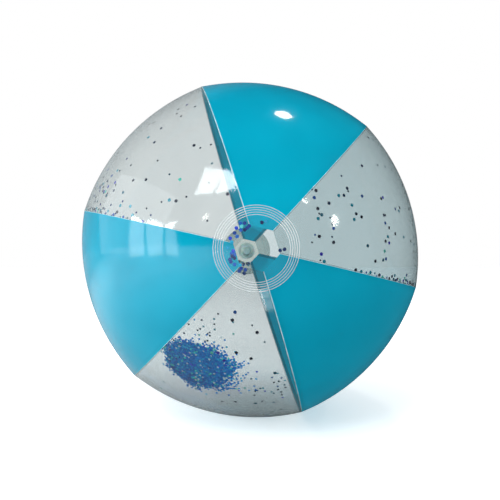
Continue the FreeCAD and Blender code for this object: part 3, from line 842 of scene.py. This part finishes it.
class BEACHBALL_OT_end_caps(bpy.types.Operator):
    """Builds the round end caps with their ridged weld rings"""
    bl_idname = "beachball.end_caps"
    bl_label = "End caps"

    def execute(self, context):
        film, valve = settings().film, settings().valve
        tree = ridge_tree()
        for name, low, flip, tint_hex, least in (("front", 0.0, True, "#FBFCFC", 0.008),
                                                 ("rear", valve.hole, False, "#DBE1DE", 0.07)):
            material = material_of("clear_ridged_pvc_%s_cap" % name, clear_pvc, film, tint_hex, least, True)
            radii, outer_lift, inner_lift = cap_profile(film, low)
            points, faces = closed_sheet(pole_sheet(radii, outer_lift, film),
                                         pole_sheet(radii, inner_lift, film), wrap=True)
            cap = make_object("cap_blank", half_turned(points) if flip else points, faces, material)
            outer_face = cap.data.attributes.new("outer", "FLOAT", "POINT")
            places = np.array([v.co for v in cap.data.vertices])
            heights = abs(places[:, 1])
            if flip:
                places = half_turned(places)
            middle = pole_height(places[:, 0], places[:, 2], 0.16 * MM, film)
            outer_face.data.foreach_set("value", (heights > middle).astype(float))
            piece = bake(name + "_end_cap", cap, tree, {
                "Edge": film.cap_radius, "Margin": film.ridge_margin, "Pitch": film.ridge_pitch,
                "Height": film.ridge_height, "Ridges": film.ridges, "Material": material})
            finish_piece(piece, "ball", "clear_vinyl", name + "_cap")
        return {"FINISHED"}


# The valve's small sizes that nobody would change on their own.
RIM_THICK = 1.5 * MM
WEB_THICK = 0.5 * MM
COUNTERBORE_DEPTH = 5.0 * MM
SPIGOT_DEPTH = 4.5 * MM
HEAD_RADIUS = 7.0 * MM
TAB_REACH, TAB_HALF = 11.5 * MM, 3.0 * MM
FOLD_RADIUS = 0.65 * MM  # the strap's fold, to the middle of the strap
STRAP_HALF, STRAP_HALF_THICK = 1.95 * MM, 0.42 * MM
STRAP_FROM, STRAP_TO = -7.35 * MM, -6.85 * MM  # the strap's ends under the rim and the plug's head
FLAP_MIDDLE = 0.02 * MM


class BEACHBALL_OT_valve(bpy.types.Operator):
    """Builds the push-in valve: flange, bellows, tube, plug with its strap, and check flap"""
    bl_idname = "beachball.valve"
    bl_label = "Valve"

    def execute(self, context):
        film, valve = settings().film, settings().valve
        material = material_of("soft_moulded_pvc", moulded_pvc, valve)
        rim_top, stem_end = STEM_HIGH.y, STEM_LOW.y
        rim_under = rim_top - RIM_THICK
        bellows_top = BALL_RADIUS + CAP_LIFT - 2 * film.thickness

        radii = np.linspace(valve.hole + 0.02 * MM, valve.flange, 14)
        flange = closed_sheet(pole_sheet(radii, np.full(14, 0.58 * MM), film, 96),
                              pole_sheet(radii, np.full(14, 0.05 * MM), film, 96), wrap=True)
        finish_piece(make_object("valve_flange_ring", *flange, material), "ball", "valve_vinyl",
                     "valve_flange")

        down = np.linspace(0, 1, 22)
        radius = valve.hole + (valve.tube - valve.hole) * down
        upper = bellows_top - valve.drop * (0.5 - 0.5 * np.cos(math.pi * down))
        web = closed_sheet(turned_sheet(np.stack([radius, upper], 1), 96),
                           turned_sheet(np.stack([radius, upper - WEB_THICK], 1), 96), wrap=True)
        bellows = make_object("bellows_web", *web, material)
        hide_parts("valve_bellows")
        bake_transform(bellows)

        counterbore = rim_top - COUNTERBORE_DEPTH
        tube = turned_ring([
            (valve.bore, stem_end), (valve.tube, stem_end), (valve.tube, rim_under),
            (STEM_HIGH.x, rim_under), (STEM_HIGH.x, rim_top), (valve.plug_bore, rim_top),
            (valve.plug_bore, counterbore), (valve.bore, counterbore)], 0.35 * MM)
        finish_piece(make_object("valve_tube", *tube, material), "stem", "valve_vinyl", "valve_stem")

        self.plug_and_strap(material, valve, rim_top)
        flap = turned_ring([(FLAP_MIDDLE, FLAP_LOW.y), (FLAP_HIGH.x, FLAP_LOW.y),
                            (FLAP_HIGH.x, FLAP_HIGH.y), (FLAP_MIDDLE, FLAP_HIGH.y)], 0.12 * MM)
        finish_piece(make_object("flap_disc", *flap, material), "flap", "valve_vinyl", "check_flap")
        return {"FINISHED"}

    def plug_and_strap(self, material, valve, rim_top):
        """The plug with its pull tab, and the strap that folds between rim and plug."""
        fold = JOINT_PLACE["plug_swing"][2]
        head_top = PLUG_HIGH.y
        side = valve.plug_bore - 0.05 * MM
        swing = side - fold
        outline = [(0.0, rim_top - SPIGOT_DEPTH)]
        outline += [(fold + math.sqrt(swing ** 2 - drop ** 2), rim_top - drop)
                    for drop in np.linspace(SPIGOT_DEPTH, 0.0, 8)]
        outline += [(HEAD_RADIUS, rim_top + 0.02 * MM), (HEAD_RADIUS, head_top), (0.0, head_top)]
        points, faces = turned_ring(outline, 0.3 * MM)
        plate = self.tab_plate(rim_top + 0.15 * MM, head_top - 0.15 * MM, len(points))
        both = np.concatenate([points, plate[0]]), faces + plate[1]
        finish_piece(make_object("plug_with_tab", *both, material), "plug", "valve_vinyl", "valve_plug")

        low, high = rim_top - FOLD_RADIUS, rim_top + FOLD_RADIUS
        path = [(z, low) for z in np.linspace(STRAP_FROM, fold, 6)]
        path += [(fold - FOLD_RADIUS * math.sin(a), rim_top - FOLD_RADIUS * math.cos(a))
                 for a in np.linspace(0.2, math.pi - 0.2, 12)]
        path += [(z, high) for z in np.linspace(fold, STRAP_TO, 7)]
        path = np.array(path)
        along = np.gradient(path, axis=0)
        along /= np.linalg.norm(along, axis=1)[:, None]
        outward = np.stack([along[:, 1], -along[:, 0]], 1)
        section = rounded([(STRAP_HALF * x, STRAP_HALF_THICK * y)
                           for x, y in ((-1, -1), (1, -1), (1, 1), (-1, 1))], 0.25 * MM, 3)
        rows = []
        for place, direction in zip(path, outward):
            flat = place + section[:, 1:2] * direction
            rows.append(np.stack([section[:, 0], flat[:, 1], flat[:, 0]], axis=1))
        grid = np.array(rows)
        count = grid.shape[1]
        faces = grid_faces(grid.shape[0], count, 0, True)
        last = (grid.shape[0] - 1) * count
        faces += [tuple(range(count)), tuple(range(last, last + count))]
        strap = make_object("folded_strap", grid.reshape(-1, 3), faces, material)
        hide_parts("plug_strap")
        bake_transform(strap)

    def tab_plate(self, low, high, start):
        """A flat plate with a round end that sticks out past the plug's head."""
        reach = TAB_REACH - TAB_HALF
        edge = [(TAB_HALF * math.cos(a), reach + TAB_HALF * math.sin(a))
                for a in np.linspace(0, math.pi, 20)]
        edge = np.array(edge + [(-TAB_HALF, 2 * MM), (TAB_HALF, 2 * MM)])
        middle = edge.mean(axis=0)
        layers = []
        for inset, height in ((1.0, low), (0.35, low), (0.0, low + 0.25 * MM), (0.0, high - 0.25 * MM),
                              (0.35, high), (1.0, high)):
            ring = edge if inset == 0 else edge + (middle - edge) / np.linalg.norm(
                middle - edge, axis=1)[:, None] * min(inset, 0.35) * MM
            if inset == 1.0:
                ring = np.repeat(middle[None], len(edge), axis=0)
            layers.append(np.stack([ring[:, 0], np.full(len(edge), height), ring[:, 1]], axis=1))
        grid = np.array(layers)
        return grid.reshape(-1, 3), grid_faces(len(layers), len(edge), start, True)


# --- glitter ------------------------------------------------------------------------------

# One glitter in three palettes: the flakes on the film are painted dark (painted shade), the heap's are
# painted bright with a few plain white ones (painted light and painted glints), and the pocket's lie
# between.
WALL_STOPS_PAINTED_SHADE = [(0.0, "#0A1434"), (0.3, "#08284A"), (0.44, "#0A5A70"), (0.56, "#0A4C9C"),
              (0.7, "#2F25B0"), (0.8, "#0B8CA0"), (0.92, "#58C8B8"), (0.97, "#0A2450")]
HEAP_STOPS_PAINTED_LIGHT = [(0.0, "#008AE6"), (0.3, "#009CF4"), (0.55, "#00B4FA"), (0.7, "#0070CC"),
              (0.8, "#30D0F8"), (0.88, "#4C60F8"), (0.91, "#60FFE4"), (0.95, "#FFFFFF")]
CAP_STOPS = [(0.0, "#063C8C"), (0.3, "#0A5CB4"), (0.5, "#0A2C60"), (0.65, "#1C3FC0"),
             (0.8, "#0FA0C8"), (0.93, "#5AD0D0")]

# Shares of the thickest bed of flakes.
STRAY_ON_CLEAR = 0.011
STRAY_ON_TURQUOISE = 0.04
IN_ROW = 0.9
IN_GATHERED = 0.25
ROW_ACROSS = (0.93, 0.965)  # where the row along a lower seam begins, from middle to seam
ROW_END = 0.175  # metres along the pole axis
# Least distance between flakes, and most of them to a square metre where a bed is full.
WALL_SPACING, POCKET_SPACING, HEAP_SPACING = 3.3 * MM, 1.9 * MM, 2.35 * MM
FULL_BED = 3.0e5

# Where flakes gather on a clear gore: direction round the poles and angle from the front pole in
# degrees, reach in millimetres and strength.
GATHERED = {
    1: [(30, 29, 16, 0.7), (28, 18, 16, 0.8), (10, 42, 34, 0.5), (8, 66, 38, 0.45), (0, 20, 20, 0.4)],
    2: [(156, 56, 24, 1.0), (162, 88, 34, 1.0), (166, 42, 14, 0.8), (135, 48, 14, 0.4)],
    3: [(268, 21, 6, 1.0), (250, 26, 12, 1.0), (243, 136, 24, 1.0), (282, 106, 30, 1.0),
        (232, 118, 24, 0.8)],
}


def bed(name, points, faces, density):
    """A mesh for flakes to lie on, with its share of them at each point."""
    mesh = new_mesh(name, points, [], faces)
    mesh.attributes.new("density", "FLOAT", "POINT").data.foreach_set("value", density.ravel())
    return link(name, mesh)


def strewn(name, beds, tree, material, glitter, spacing, per_area, tilt, seed):
    """One mesh of flakes strewn over several beds."""
    parts = [bake(name, source, tree, {
        "Width": glitter.across, "Thickness": glitter.thickness, "Spacing": spacing,
        "Density": per_area, "Tilt": tilt, "Seed": seed + number, "Material": material})
        for number, source in enumerate(beds)]
    if len(parts) > 1:
        with bpy.context.temp_override(active_object=parts[0], selected_editable_objects=parts):
            bpy.ops.object.join()
    return parts[0]


def gathered(points, spots):
    """Extra density round spots on the film."""
    total = np.zeros(points.shape[:-1])
    for direction, from_pole, reach, strength in spots:
        a, b = math.radians(direction), math.radians(from_pole)
        spot = BALL_RADIUS * np.array([math.sin(b) * math.cos(a), -math.cos(b), math.sin(b) * math.sin(a)])
        away = np.linalg.norm(points - spot, axis=-1)
        total += strength * np.exp(-(away / (reach * MM)) ** 2)
    return total


class BEACHBALL_OT_clinging_flakes(bpy.types.Operator):
    """Strews single flakes that cling to the film and gather under the caps"""
    bl_idname = "beachball.clinging_flakes"
    bl_label = "Clinging flakes"

    def execute(self, context):
        film, glitter = settings().film, settings().glitter
        material = material_of("holographic_polyester_flake_painted_shade", holographic_polyester, WALL_STOPS_PAINTED_SHADE)
        tree = flake_tree()
        wall = BALL_RADIUS - film.thickness - 0.15 * MM
        grid = gore_grid(film, wall, rows=110, columns=50, inset=0.012)
        rows, columns = grid.shape[:2]
        # the faces look inwards, so the flakes lie on the inner side of the film
        faces = flipped(grid_faces(rows, columns))
        across = spread(columns)[None, :]
        for kind, middles, count in (("clear", CLEAR_MIDDLES, glitter.per_clear),
                                     ("turquoise", TURQUOISE_MIDDLES, glitter.per_turquoise)):
            for index, middle in enumerate(middles, 1):
                points = turn(grid, middle)
                from_axis = np.hypot(points[..., 0], points[..., 2])
                # flakes slide down the film until the lower seam's flange holds them in a row
                lower = -1 if math.cos(math.radians(middle)) > 0 else 1
                row = smooth(lower * across, *ROW_ACROSS) * (abs(points[..., 1]) < ROW_END)
                density = np.full(row.shape, STRAY_ON_TURQUOISE)
                if kind == "clear":
                    # both seams of the third gore lie above its middle, so they hold no row
                    density = (STRAY_ON_CLEAR + IN_ROW * row * (index < 3)
                               + IN_GATHERED * gathered(points, GATHERED[index]))
                density *= smooth(from_axis, film.cap_radius + 3 * MM, film.cap_radius + 9 * MM)
                source = bed("film_bed", puckered(points.reshape(-1, 3), film), faces,
                             np.clip(density, 0, 1))
                seed = glitter.seed + 10 * index + (5 if kind == "clear" else 0)
                piece = strewn("flakes_on_%s_%d" % (kind, index), [source], tree, material, glitter,
                               WALL_SPACING, 1000.0 * count, 0.03, seed)
                finish_piece(piece, "ball", "holographic_glitter", "glitter_on_%s_%d" % (kind, index))
        self.cap_flakes(film, glitter, tree)
        return {"FINISHED"}

    def cap_flakes(self, film, glitter, tree):
        """Flakes caught between the gore tips and a cap, most of them along its lower left."""
        blue = material_of("holographic_polyester_pocket", holographic_polyester, CAP_STOPS)
        radii = np.linspace(15 * MM, film.cap_radius - film.cap_weld - 2.3 * MM, 12)
        sheet = pole_sheet(radii, np.full(12, 0.28 * MM), film, 120)
        angle = np.degrees(np.arctan2(sheet[..., 2], sheet[..., 0])) % 360
        from_axis = np.hypot(sheet[..., 0], sheet[..., 2])
        for name, arcs, flip in (("front", ((105, 245), (58, 76), (350, 358)), True),
                                 ("rear", ((200, 330),), False)):
            points = sheet.reshape(-1, 3)
            if flip:
                points = points * (1, -1, 1)
            inside = sum(smooth(angle, start - 4, start + 4) * (1 - smooth(angle, end - 4, end + 4))
                         for start, end in arcs)
            clumps = 0.65 + 0.35 * np.sin(np.radians(angle) * 9 + 1.0)
            rim = smooth(from_axis, 16.5 * MM, 20 * MM)
            density = 0.006 + 0.9 * inside * rim * clumps
            source = bed("cap_bed", points, grid_faces(*sheet.shape[:2], 0, True), density)
            piece = strewn("flakes_at_%s_cap" % name, [source], tree, blue, glitter,
                           POCKET_SPACING, FULL_BED, 0.015, glitter.seed + (3 if flip else 4))
            finish_piece(piece, "ball", "holographic_glitter", "glitter_at_%s_cap" % name)


HEAP_RINGS, HEAP_COLUMNS = 46, 120
FILM_OF_FLAKES = 0.02  # of the heap's depth
TRAIL_REACH = 1.45  # in heap radii
CORE_REACH = 0.58


class BEACHBALL_OT_glitter_heap(bpy.types.Operator):
    """Piles up the loose heap of flakes that rolls round inside the ball"""
    bl_idname = "beachball.glitter_heap"
    bl_label = "Glitter heap"

    def execute(self, context):
        glitter, film = settings().glitter, settings().film
        low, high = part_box("glitter_heap")
        centre = np.array((Vector(low) + Vector(high)).normalized())
        side = np.cross(centre, (0.0, 1.0, 0.0))
        side /= np.linalg.norm(side)
        up = np.cross(side, centre)
        floor_radius = BALL_RADIUS - film.thickness - 0.6 * MM
        chance = np.random.default_rng(glitter.seed)
        phases = chance.uniform(0, 2 * math.pi, 6)

        turns = np.linspace(0, 2 * math.pi, HEAP_COLUMNS, endpoint=False)[None, :]
        uneven = (0.76 + 0.08 * np.cos(turns) + 0.08 * np.cos(2 * turns)
                  + 0.05 * np.sin(3 * turns + phases[1]) + 0.035 * np.sin(7 * turns + phases[2])
                  + 0.02 * np.sin(13 * turns + phases[3]))

        def dome(depth, reach):
            """Points of a dome on the wall, and how far out they lie towards the heap's rim."""
            radii = np.linspace(0, reach, HEAP_RINGS)[:, None]
            swing = radii / floor_radius
            height = floor_radius - depth * (1 - (radii / reach) ** 2)
            flat = np.cos(turns)[..., None] * side + np.sin(turns)[..., None] * up
            direction = np.cos(swing)[..., None] * centre + np.sin(swing)[..., None] * flat
            return direction * height[..., None], radii / (glitter.heap_radius * uneven)

        tree = bpy.data.node_groups["strewn_flakes"]
        material = material_of("holographic_polyester_heap_painted_light", holographic_polyester, HEAP_STOPS_PAINTED_LIGHT)
        faces = flipped(grid_faces(HEAP_RINGS, HEAP_COLUMNS, 0, True))
        beds = []
        for share in (FILM_OF_FLAKES, 0.35, 0.7, 1.0):
            points, edge = dome(share * glitter.heap_depth, glitter.heap_radius)
            thin = 1 - smooth(edge, 0.5 + 0.2 * (1 - share), 1.12)
            density = np.clip(thin ** 1.4 + 0.03 * (1 - smooth(edge, 1.0, 1.25)), 0, 1)
            beds.append(bed("heap_bed", points.reshape(-1, 3), faces, density))
        # a thin trail on the heap's +X side and a loose fringe above it
        points, _ = dome(FILM_OF_FLAKES * glitter.heap_depth, TRAIL_REACH * glitter.heap_radius)
        along = np.linspace(0, TRAIL_REACH, HEAP_RINGS)[:, None]
        aside = (turns + math.pi) % (2 * math.pi) - math.pi
        trail = 0.30 * np.exp(-(aside / 0.5) ** 2) * (1 - smooth(along, 0.8, 1.4))
        fringe = 0.14 * np.exp(-((aside - 1.3) / 0.6) ** 2) * (1 - smooth(along, 0.75, 1.25))
        density = (trail + fringe) * smooth(along, 0.5, 0.7)
        beds.append(bed("heap_bed", points.reshape(-1, 3), faces, density))
        flakes = strewn("heap_flakes", beds, tree, material, glitter, HEAP_SPACING, FULL_BED, 0.13,
                        glitter.seed)
        finish_piece(flakes, "heap", "holographic_glitter", "glitter_heap")

        upper, lower = (dome(share * glitter.heap_depth, CORE_REACH * glitter.heap_radius)[0]
                        for share in (0.75, 0.15))
        core = make_object("heap_core", *closed_sheet(lower, upper, wrap=True),
                           material_of("packed_glitter_flakes", packed_glitter, glitter))
        finish_piece(core, "heap", "holographic_glitter")
        return {"FINISHED"}


# --- stage --------------------------------------------------------------------------------

def towards(azimuth, elevation):
    """A direction; azimuth 0 is the camera's side and 90 is to its right."""
    a, e = math.radians(azimuth), math.radians(elevation)
    return Vector((math.sin(a) * math.cos(e), -math.cos(a) * math.cos(e), math.sin(e)))


def look_from(thing, place):
    """Puts a lamp or camera somewhere, looking at the ball's centre."""
    thing.location = place
    thing.rotation_euler = (-thing.location).to_track_quat("-Z", "Y").to_euler()


def area_light(name, azimuth, elevation, width, height, brightness, colour_hex,
               shape="RECTANGLE", distance=2.0):
    """A soft area light that looks at the ball from a direction, as bright as `brightness`."""
    data = bpy.data.lights.new(name, "AREA")
    data.shape = shape
    data.size = width
    data.size_y = height
    data.energy = brightness * math.pi * width * height * (math.pi / 4 if shape == "ELLIPSE" else 1)
    data.color = linear(colour_hex)[:3]
    look_from(link(name, data), towards(azimuth, elevation) * distance)


FLOOR_HALF = 6.0
CAMERA_SIDE = (-1.64, -0.4)  # azimuth and elevation
# Small lamps: azimuth, elevation, width and height.
LAMPS = (("ceiling_lamp", 110, 75, 0.24, 0.2), ("lamp_high_right", 68, 45, 0.26, 0.08),
         ("lamp_low_right", 52, 15, 0.13, 0.15), ("lamp_middle_right", 37, 25, 0.08, 0.12),
         ("lamp_middle_left", -28, 20, 0.09, 0.06))


class BEACHBALL_OT_stage(bpy.types.Operator):
    """Lays the floor and sets light and camera"""
    bl_idname = "beachball.stage"
    bl_label = "Stage"

    def execute(self, context):
        stage = settings().stage
        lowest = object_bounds()[0].z
        corners = [(FLOOR_HALF * x, FLOOR_HALF * y, lowest)
                   for x, y in ((-1, -1), (1, -1), (1, 1), (-1, 1))]
        mesh = new_mesh("floor", corners, [], [(0, 1, 2, 3)])
        mesh.materials.append(material_of("matt_painted_floor", painted_floor, stage))
        floor = link("floor", mesh)
        floor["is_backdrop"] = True

        for number, (azimuth, width) in enumerate(((-73, 0.42), (-59, 0.33), (-47, 0.29)), 1):
            area_light("window_pane_%d" % number, azimuth, 2, width, 0.6, stage.window, "#F4FAFF")
            area_light("window_sky_%d" % number, azimuth, 16, width, 0.26, 3.5 * stage.window, "#F4FAFF")
        area_light("window_top_left", -33, 38, 0.3, 0.46, 2 * stage.window, "#F6FBFF")
        area_light("window_top_right", -21, 38, 0.3, 0.48, 3.5 * stage.window, "#F6FBFF")
        area_light("left_wall", -82, 14, 3.2, 2.2, stage.soft, "#F8FBFF", distance=2.9)
        for name, *place in LAMPS:
            area_light(name, *place, stage.lamp, "#FFF8F0", "ELLIPSE")

        world = bpy.data.worlds.new("pale_room")
        world.use_nodes = True
        tree = world.node_tree
        tree.nodes.clear()

        def light(hex_colour, strength):
            return add(tree, "ShaderNodeBackground", {},
                       {"Color": linear(hex_colour), "Strength": strength}).outputs["Background"]

        ray = add(tree, "ShaderNodeLightPath").outputs
        direction = add(tree, "ShaderNodeTexCoord").outputs["Generated"]
        behind = add(tree, "ShaderNodeVectorMath", {"operation": "DOT_PRODUCT"},
                     {0: direction, 1: (-0.8, 0.6, 0.0)}).outputs["Value"]
        gloss = light("#C8D0D4", scaled(tree, behind, 0.06, 0.9, 0.35, 0.9))
        around = mixed(tree, ray["Is Glossy Ray"], light("#F2F5F7", 1.0), gloss)
        room = mixed(tree, ray["Is Camera Ray"], around, light("#FFFFFF", 1.0))
        add(tree, "ShaderNodeOutputWorld", {}, {"Surface": room})
        context.scene.world = world
        context.scene.view_settings.view_transform = "Standard"
        # light crosses up to four films, each with two faces, on its way in and again on its way out
        context.scene.cycles.transparent_max_bounces = 24

        data = bpy.data.cameras.new("camera")
        data.sensor_width = 36.0
        data.lens = stage.lens
        camera = link("camera", data)
        look_from(camera, towards(*CAMERA_SIDE) * stage.distance * BALL_RADIUS)
        context.scene.camera = camera
        return {"FINISHED"}


class BEACHBALL_PT_panel(bpy.types.Panel):
    """Beach ball pieces in build order"""
    bl_idname = "BEACHBALL_PT_panel"
    bl_label = "Beach Ball"
    bl_space_type = "VIEW_3D"
    bl_region_type = "UI"
    bl_category = "Beach Ball"

    def draw(self, context):
        for group in (settings().film, settings().glitter, settings().valve, settings().stage):
            box = self.layout.box()
            for key in type(group).__annotations__:
                box.prop(group, key)
        for operator in OPERATORS:
            self.layout.operator(operator.bl_idname)


OPERATORS = (BEACHBALL_OT_turquoise_gores, BEACHBALL_OT_clear_gores, BEACHBALL_OT_seam_welds,
             BEACHBALL_OT_end_caps, BEACHBALL_OT_valve, BEACHBALL_OT_clinging_flakes,
             BEACHBALL_OT_glitter_heap, BEACHBALL_OT_stage)
CLASSES = (FilmSettings, GlitterSettings, ValveSettings, StageSettings, BeachBallSettings,
           *OPERATORS, BEACHBALL_PT_panel)


def register():
    for cls in CLASSES:
        bpy.utils.register_class(cls)
    bpy.types.Scene.beach_ball = PointerProperty(type=BeachBallSettings)


def unregister():
    del bpy.types.Scene.beach_ball
    for cls in reversed(CLASSES):
        bpy.utils.unregister_class(cls)


def main():
    """Builds every piece in order."""
    register()
    for operator in OPERATORS:
        getattr(bpy.ops.beachball, operator.bl_idname.split(".")[1])()


if __name__ == "__main__":
    main()
